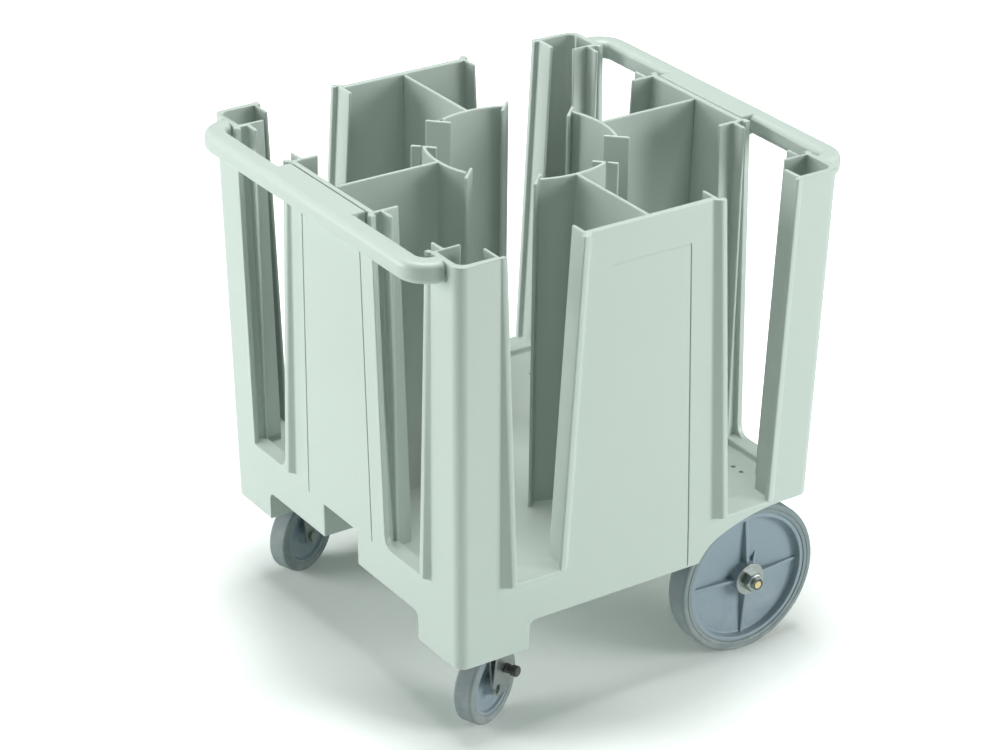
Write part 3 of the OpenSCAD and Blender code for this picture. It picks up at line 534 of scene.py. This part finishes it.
def axle_place(side):
    """Local Z outwards along the axle, from the middle of the caddy, on one side."""
    if side == "left":
        return Matrix(((1, 0, 0, AXLE_X), (0, 0, 1, 0), (0, -1, 0, WHEEL_R), (0, 0, 0, 1)))
    return Matrix(((1, 0, 0, AXLE_X), (0, 0, -1, 0), (0, 1, 0, WHEEL_R), (0, 0, 0, 1)))


def pin_place(side):
    """Local Z along a caster's own axle, towards the caster's left."""
    swivel, pin = JOINTS[f"swivel_turn_{side}"], JOINTS[f"caster_spin_{side}"]
    x, y, _ = swivel["pos_m"]
    trail = round(math.dist((x, y), pin["pos_m"][:2]), 5)
    turned = round(math.degrees(math.atan2(-pin["axis"][0], pin["axis"][1])), 3)
    axle = Matrix(((1, 0, 0, trail), (0, 0, 1, 0), (0, -1, 0, CASTER_R), (0, 0, 0, 1)))
    return Matrix.Translation((x, y, 0)) @ Matrix.Rotation(math.radians(turned), 4, "Z") @ axle


# Pieces

def corner_fills(bm):
    """Rounded inner corners: where the feet meet the skirts, and low down in the end slots."""
    sizes = bpy.context.scene.dish_caddy_body
    side_foot = fillet((FOOT_BACK_X, SKIRT_Z), (1, -1), sizes.foot_round)
    end_foot = fillet((FOOT_IN_Y, SKIRT_Z), (-1, -1), sizes.foot_round)
    end_slot = fillet((PANEL_EDGE_Y, SILL_Z), (1, 1), sizes.slot_round)
    for sign in (-1, 1):
        prism(bm, [(x, sign * (face_y(z) - WALL), z) for x, z in side_foot],
              [(x, sign * face_y(z), z) for x, z in side_foot])
        prism(bm, [(WALL - face_x(z), sign * y, z) for y, z in end_foot],
              [(-face_x(z), sign * y, z) for y, z in end_foot])
        for end in (-1, 1):
            prism(bm, [(end * (frame_x(z) - WALL), sign * y, z) for y, z in end_slot],
                  [(end * frame_x(z), sign * y, z) for y, z in end_slot])


def skirt_grooves(bm):
    """Thin grooves of the panels, carried on down the skirts."""
    deep, wide, stop = 0.001, 0.002, 0.0035
    top = SILL_Z + 0.0005
    for sign in (-1, 1):
        ends = []
        for z in (SKIRT_Z + stop, top):
            x, y = along(SIDE_GROOVE_X, z), face_y(z)
            ends.append([(x, sign * (y - deep), z), (x + wide, sign * (y - deep), z),
                         (x + wide, sign * (y + wide), z), (x, sign * (y + wide), z)])
        prism(bm, *ends)
        ends = []
        for z in (NOTCH_Z + stop, top):
            x, y = face_x(z), sign * along(END_GROOVE_Y, z)
            ends.append([(deep - x, y, z), (deep - x, y + sign * wide, z),
                         (-x - wide, y + sign * wide, z), (-x - wide, y, z)])
        prism(bm, *ends)


def one_skin(walls, cutter):
    """Mesh of the walls joined into one and cut, as a bmesh; the objects are removed."""
    base = walls[0]
    changes = [(wall, "UNION") for wall in walls[1:]] + [(cutter, "DIFFERENCE")]
    for other, operation in changes:
        change = base.modifiers.new("Change", "BOOLEAN")
        change.operation = operation
        change.solver = "MANIFOLD"
        change.object = other
    graph = bpy.context.evaluated_depsgraph_get()
    bm = bmesh.new()
    bm.from_mesh(bpy.data.meshes.new_from_object(base.evaluated_get(graph)))
    for part in (*walls, cutter):
        bpy.data.objects.remove(part)
    if not bm.faces:
        raise RuntimeError("the walls of the moulding gave no skin")
    return bm


class DISHCADDY_OT_body(bpy.types.Operator):
    """Builds the moulded body as one skin with rounded edges from the plain CAD walls"""

    bl_idname = "dish_caddy.body"
    bl_label = "Moulded body"

    def execute(self, context):
        sizes = context.scene.dish_caddy_body
        names = [node for node, slot in NODE_SLOT.items() if slot == "plastic"]
        walls = [add_object("part", node_bmesh(name)) for name in names]
        walls.append(solid("fills", corner_fills))
        bm = one_skin(walls, solid("grooves", skirt_grooves))
        speck, flat = 3e-4, math.radians(1.0)
        bmesh.ops.remove_doubles(bm, verts=bm.verts, dist=speck)
        bmesh.ops.dissolve_degenerate(bm, edges=bm.edges, dist=speck)
        bmesh.ops.dissolve_limit(bm, angle_limit=flat, verts=bm.verts, edges=bm.edges)
        # An edge is rounded only if every edge beside it is over twice as long as the rounding is wide
        room = sizes.edge * 2.1
        roomy = [edge for edge in sharp_edges(bm, sizes.sharp)
                 if all(near.calc_length() > room for vert in edge.verts for near in vert.link_edges)]
        low = [min(vert.co[axis] for vert in bm.verts) for axis in range(3)]
        high = [max(vert.co[axis] for vert in bm.verts) for axis in range(3)]
        bevel(bm, roomy, sizes.edge, sizes.steps, clamp=False)
        # A rounded corner may overshoot a little, and is held inside the body's own box
        for vert in bm.verts:
            vert.co = [min(max(c, a), b) for c, a, b in zip(vert.co, low, high)]
        for face in bm.faces:
            face.material_index = 0
        piece("body_shell", bm, [plastic_mat()], "root", names, angle=35)
        return {"FINISHED"}


def wheel_rib(bm, turn, base, way, reach, end_tall, hub_tall, half):
    """Tapered rib on one face of a wheel's web, from the hub out to a reach, with a soft crown."""
    start, sunk, crown_round = 0.023, 0.001, 0.0014
    outline = [(start, base - way * sunk), (reach, base - way * sunk),
               (reach, base + way * end_tall), (start, base + way * hub_tall)]
    rings = prism(bm, *([turn @ Vector((radius, y, height)) for radius, height in outline]
                        for y in (-half, half)))
    crown = [vert for ring in rings for vert in ring[2:]]
    edges = dict.fromkeys(edge for vert in crown for edge in vert.link_edges
                          if all(end in crown for end in edge.verts))
    bevel(bm, list(edges), crown_round, 3)


class DISHCADDY_OT_big_wheels(bpy.types.Operator):
    """Builds the two big wheels: dished centres with ribs, and tyres with a moulded line"""

    bl_idname = "dish_caddy.big_wheels"
    bl_label = "Big wheels"

    def execute(self, context):
        sizes = context.scene.dish_caddy_wheels
        low, high = WHEEL_IN, WHEEL_OUT
        tyre_in, shoulder = 0.109, 0.006
        line_r, line_half = 0.1155, 0.001
        tyre = [(tyre_in, low, 0), (WHEEL_R, low, shoulder), (WHEEL_R, high, shoulder),
                (line_r + line_half, high, 0), (line_r, high - sizes.groove, 0.0004),
                (line_r - line_half, high, 0), (tyre_in, high, 0.0005)]
        bore, hub_r, hub_foot, hub_proud = 0.014, 0.024, 0.026, 0.002
        rim_foot, rim_in, rim_out, lip = 0.100, 0.102, 0.1088, 0.001
        web_deep, web_thick = 0.013, 0.006
        web = high - web_deep
        back = web - web_thick
        centre = [(bore, low - hub_proud, 0.0005), (hub_r, low - hub_proud, 0.001),
                  (hub_foot, back, 0.003), (rim_foot, back, 0.003),
                  (rim_in, low + lip, 0.001), (rim_out, low + lip, 0),
                  (rim_out, high - 0.0012, 0.001), (rim_in, high - lip, 0.0015),
                  (rim_foot, web, 0.003), (hub_foot, web, 0.003),
                  (hub_r, high + hub_proud, 0.0015), (bore, high + hub_proud, 0.0005)]
        rib = {"reach": 0.1012, "end_tall": 0.003, "hub_tall": 0.011, "half": 0.003}
        fin = {"reach": 0.042, "end_tall": 0.001, "hub_tall": 0.009, "half": 0.002}
        raised = [(quarter * 90, rib) for quarter in range(4)] + [(58, fin)]
        for side in SIDES:
            place = axle_place(side)
            bm = spun(rounded(tyre, 5), place, sizes.turns)
            piece(f"tyre_skin_{side}", bm, [tyre_mat()], f"wheel_{side}", [f"tyre_{side}"])
            bm = spun(rounded(centre, 4), place, sizes.turns)
            for angle, shape in raised:
                turn = place @ Matrix.Rotation(math.radians(angle), 4, "Z")
                for base, way in ((web, 1), (back, -1)):
                    wheel_rib(bm, turn, base, way, **shape)
            piece(f"wheel_disc_{side}", bm, [wheel_mat()], f"wheel_{side}",
                  [f"wheel_centre_{side}"])
        return {"FINISHED"}


class DISHCADDY_OT_casters(bpy.types.Operator):
    """Builds the caster wheels: crowned tyres on dished centres"""

    bl_idname = "dish_caddy.casters"
    bl_label = "Caster wheels"

    def execute(self, context):
        turns = context.scene.dish_caddy_wheels.caster_turns
        half, tyre_in, shoulder, lip = 0.016, 0.049, 0.005, 0.001
        tyre = [(tyre_in, -half, 0.001), (CASTER_R, -half, shoulder), (CASTER_R, half, shoulder),
                (tyre_in, half, 0.001)]
        bore, hub_r, hub_foot, hub_half, hub_web = 0.008, 0.015, 0.018, 0.0187, 0.007
        rim_foot, rim_in, rim_out, rim_web = 0.042, 0.044, 0.0488, 0.009
        rim_half = half - lip
        outer = [(rim_out, rim_half, 0.0004), (rim_in, rim_half, 0.001), (rim_foot, rim_web, 0.003),
                 (hub_foot, hub_web, 0.003), (hub_r, hub_half, 0.001), (bore, hub_half, 0)]
        disc = [(radius, -height, soft) for radius, height, soft in reversed(outer)] + outer
        for side in SIDES:
            place = pin_place(side)
            bm = spun(rounded(tyre, 6), place, turns)
            piece(f"caster_tyre_skin_{side}", bm, [tyre_mat()], f"caster_wheel_{side}",
                  [f"caster_tyre_{side}"])
            bm = spun(rounded(disc, 4), place, turns)
            piece(f"caster_disc_{side}", bm, [wheel_mat()], f"caster_wheel_{side}",
                  [f"caster_centre_{side}"])
        return {"FINISHED"}


def brass_tips(bm):
    """Brass on the middle of the axle's two ends, as the second material."""
    steel_width, sunk, near = 0.0017, 0.0006, 0.0002
    tip = max(vert.co.y for vert in bm.verts) - near
    ends = [face for face in bm.faces if all(abs(vert.co.y) > tip for vert in face.verts)]
    bmesh.ops.inset_individual(bm, faces=ends, thickness=steel_width, depth=-sunk, use_even_offset=True)
    for face in ends:
        face.material_index = 1


class DISHCADDY_OT_hardware(bpy.types.Operator):
    """Chamfers every steel, bush and brake piece, and gives the axle its brass tips"""

    bl_idname = "dish_caddy.hardware"
    bl_label = "Steel and brake pieces"

    def execute(self, context):
        width = context.scene.dish_caddy_wheels.hardware
        flat, sharp = math.radians(0.6), math.radians(30)
        for name, slot in NODE_SLOT.items():
            if slot in ("zinc", "dark"):
                bm = node_bmesh(name)
                bmesh.ops.dissolve_limit(bm, angle_limit=flat, verts=bm.verts, edges=bm.edges)
                bevel(bm, sharp_edges(bm, sharp), width, 2)
                mats = [SLOT_MATS[slot]()]
                if name == "axle":
                    mats.append(brass_mat())
                    brass_tips(bm)
                piece(f"{name}_skin", bm, mats, NODE_BODY[name], [name], angle=35)
        return {"FINISHED"}


class DISHCADDY_OT_finishes(bpy.types.Operator):
    """Gives every CAD node its own finish"""

    bl_idname = "dish_caddy.finishes"
    bl_label = "Finishes of the CAD nodes"

    def execute(self, context):
        for name, slot in NODE_SLOT.items():
            mesh = frame["nodes"][name].data
            mesh.materials.clear()
            mesh.materials.append(SLOT_MATS[slot]())
        return {"FINISHED"}


# Stage

# Name, place, point aimed at, width, height and watts of each lamp
LAMPS = (("softbox_left", (-3.5, 1.9, 0.95), (0, 0, 0.4), 2.3, 2.4, 144),
         ("softbox_front", (2.5, -3.3, 1.3), (0, 0, 0.4), 2.2, 2.2, 128),
         ("softbox_top", (0.0, 0.2, 3.4), (0, 0, 0.0), 2.0, 2.0, 98))

# Size of the picture, focal length and place of the view axis in it, in pixels
PICTURE = (1000, 750)
FOCAL = 3098.2
VIEW_AXIS = (507.5, 331.2)
# Turn of the camera in degrees, the point that it looks at, and how far away that is, in metres
AZIMUTH, ELEVATION, ROLL = -34.23, 25.73, 0.74
TARGET, DISTANCE = (0.0074, 0.0392, 0.4617), 4.7701


def camera_ray(tree):
    """1 where the camera looks at the surface directly."""
    return add_node(tree, "ShaderNodeLightPath").outputs["Is Camera Ray"]


def floor_mat():
    """Pale floor with painted light: as the camera sees it, a glow fades it to white away from the caddy, and the
    glow stays low near the caddy as painted shade.
    """
    mat = bpy.data.materials.new("Floor")
    mat.use_nodes = True
    tree = mat.node_tree
    shader = tree.nodes["Principled BSDF"]
    shader.inputs["Base Color"].default_value = (0.90, 0.945, 0.925, 1)
    shader.inputs["Roughness"].default_value = 0.75
    shader.inputs["Specular IOR Level"].default_value = 0.2
    shader.inputs["Emission Color"].default_value = (1.0, 0.95, 0.98, 1)
    # Painted light: this glow is seen by the camera alone and lights nothing; the small glow everywhere lifts the
    # shadow under the caddy, and the low glow near the caddy leaves a painted shade round it
    # The floor glows a little everywhere, more past the wheels, and fully far away
    base_glow, near_glow, wide_glow = 0.045, 0.5, 0.6
    away = add_node(tree, "ShaderNodeVectorMath", operation="LENGTH")
    tree.links.new(add_node(tree, "ShaderNodeTexCoord").outputs["Object"], away.inputs[0])
    near = math_node(tree, "MULTIPLY", ramp(tree, away.outputs["Value"], 0.38, 0.64), near_glow)
    wide = math_node(tree, "MULTIPLY", ramp(tree, away.outputs["Value"], 0.8, 2.6), wide_glow)
    glow = math_node(tree, "ADD", math_node(tree, "ADD", near, base_glow), wide)
    seen = math_node(tree, "MULTIPLY", camera_ray(tree), glow)
    tree.links.new(seen, shader.inputs["Emission Strength"])
    return mat


def add_floor():
    """Flat floor under the wheels."""
    bm = bmesh.new()
    bmesh.ops.create_grid(bm, x_segments=1, y_segments=1, size=14)
    floor = add_object("floor", bm)
    floor.data.materials.append(floor_mat())
    return floor


def add_lamp(name, place, aim, width, height, watts):
    """Soft rectangular lamp that faces a point."""
    data = bpy.data.lights.new(name, "AREA")
    data.shape = "RECTANGLE"
    data.size, data.size_y = width, height
    data.energy = watts
    lamp = bpy.data.objects.new(name, data)
    bpy.context.scene.collection.objects.link(lamp)
    lamp.location = place
    lamp.rotation_euler = (Vector(aim) - Vector(place)).to_track_quat("-Z", "Y").to_euler()
    return lamp


def studio_world():
    """Dim green-tinted light from all round, which the camera itself sees as white."""
    world = bpy.data.worlds.new("Studio")
    world.use_nodes = True
    tree = world.node_tree
    soft = tree.nodes["Background"]
    soft.inputs["Color"].default_value = (0.64, 1.0, 0.70, 1)
    soft.inputs["Strength"].default_value = 0.115
    plain = add_node(tree, "ShaderNodeBackground")
    plain.inputs["Color"].default_value = (1, 1, 1, 1)
    mix = add_node(tree, "ShaderNodeMixShader")
    tree.links.new(camera_ray(tree), mix.inputs[0])
    tree.links.new(soft.outputs[0], mix.inputs[1])
    tree.links.new(plain.outputs[0], mix.inputs[2])
    tree.links.new(mix.outputs[0], tree.nodes["World Output"].inputs["Surface"])
    return world


def add_camera():
    """Camera that sees the caddy as the photograph does."""
    azimuth, elevation, roll = (math.radians(angle) for angle in (AZIMUTH, ELEVATION, ROLL))
    ahead = Vector((-math.sin(azimuth) * math.cos(elevation), math.cos(azimuth) * math.cos(elevation),
                    -math.sin(elevation)))
    right = Vector((math.cos(azimuth), math.sin(azimuth), 0))
    up = right.cross(ahead)
    turned_right = right * math.cos(roll) + up * math.sin(roll)
    turned_up = up * math.cos(roll) - right * math.sin(roll)
    width, height = PICTURE
    data = bpy.data.cameras.new("camera")
    data.sensor_width = 36
    data.lens = FOCAL * data.sensor_width / width
    data.shift_x = -(VIEW_AXIS[0] - width / 2) / width
    data.shift_y = (VIEW_AXIS[1] - height / 2) / width
    camera = bpy.data.objects.new("camera", data)
    bpy.context.scene.collection.objects.link(camera)
    basis = Matrix((turned_right, turned_up, -ahead)).transposed().to_4x4()
    basis.translation = Vector(TARGET) - ahead * DISTANCE
    camera.matrix_world = basis
    return camera


class DISHCADDY_OT_stage(bpy.types.Operator):
    """Sets out the floor, the lights, the world and the camera"""

    bl_idname = "dish_caddy.stage"
    bl_label = "Stage"

    def execute(self, context):
        scene = context.scene
        floor = add_floor()
        lamps = [add_lamp(*lamp) for lamp in LAMPS]
        scene.world = studio_world()
        scene.camera = add_camera()
        scene.render.resolution_x, scene.render.resolution_y = PICTURE
        scene.view_settings.view_transform = "Standard"
        return {"FINISHED"}


# Add-on

class DISHCADDY_PT_panel(bpy.types.Panel):
    """Buttons and sizes of the dish caddy"""

    bl_idname = "DISHCADDY_PT_panel"
    bl_label = "Dish Caddy"
    bl_space_type = "VIEW_3D"
    bl_region_type = "UI"
    bl_category = "Dish Caddy"

    def draw(self, context):
        layout = self.layout
        for group in GROUPS:
            box = layout.box()
            box.label(text=group.rpartition("_")[2].title())
            settings = getattr(context.scene, group)
            for prop in settings.bl_rna.properties:
                if prop.identifier not in ("rna_type", "name"):
                    box.prop(settings, prop.identifier)
        for operator in OPERATORS:
            layout.operator(operator.bl_idname)


OPERATORS = (DISHCADDY_OT_finishes, DISHCADDY_OT_body, DISHCADDY_OT_big_wheels, DISHCADDY_OT_casters,
             DISHCADDY_OT_hardware, DISHCADDY_OT_stage)
GROUPS = {"dish_caddy_body": DishCaddyBody, "dish_caddy_wheels": DishCaddyWheels,
          "dish_caddy_surface": DishCaddySurface}


def register():
    """Registers the settings, the operators and the panel."""
    for name, group in GROUPS.items():
        bpy.utils.register_class(group)
        setattr(bpy.types.Scene, name, bpy.props.PointerProperty(type=group))
    for item in (*OPERATORS, DISHCADDY_PT_panel):
        bpy.utils.register_class(item)


def unregister():
    """Takes away what register added."""
    for item in reversed((*OPERATORS, DISHCADDY_PT_panel)):
        bpy.utils.unregister_class(item)
    for name, group in GROUPS.items():
        delattr(bpy.types.Scene, name)
        bpy.utils.unregister_class(group)


def main():
    """Builds every piece and the stage."""
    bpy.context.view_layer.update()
    register()
    bpy.ops.dish_caddy.finishes()
    bpy.ops.dish_caddy.body()
    bpy.ops.dish_caddy.big_wheels()
    bpy.ops.dish_caddy.casters()
    bpy.ops.dish_caddy.hardware()
    bpy.ops.dish_caddy.stage()


if __name__ == "__main__":
    main()
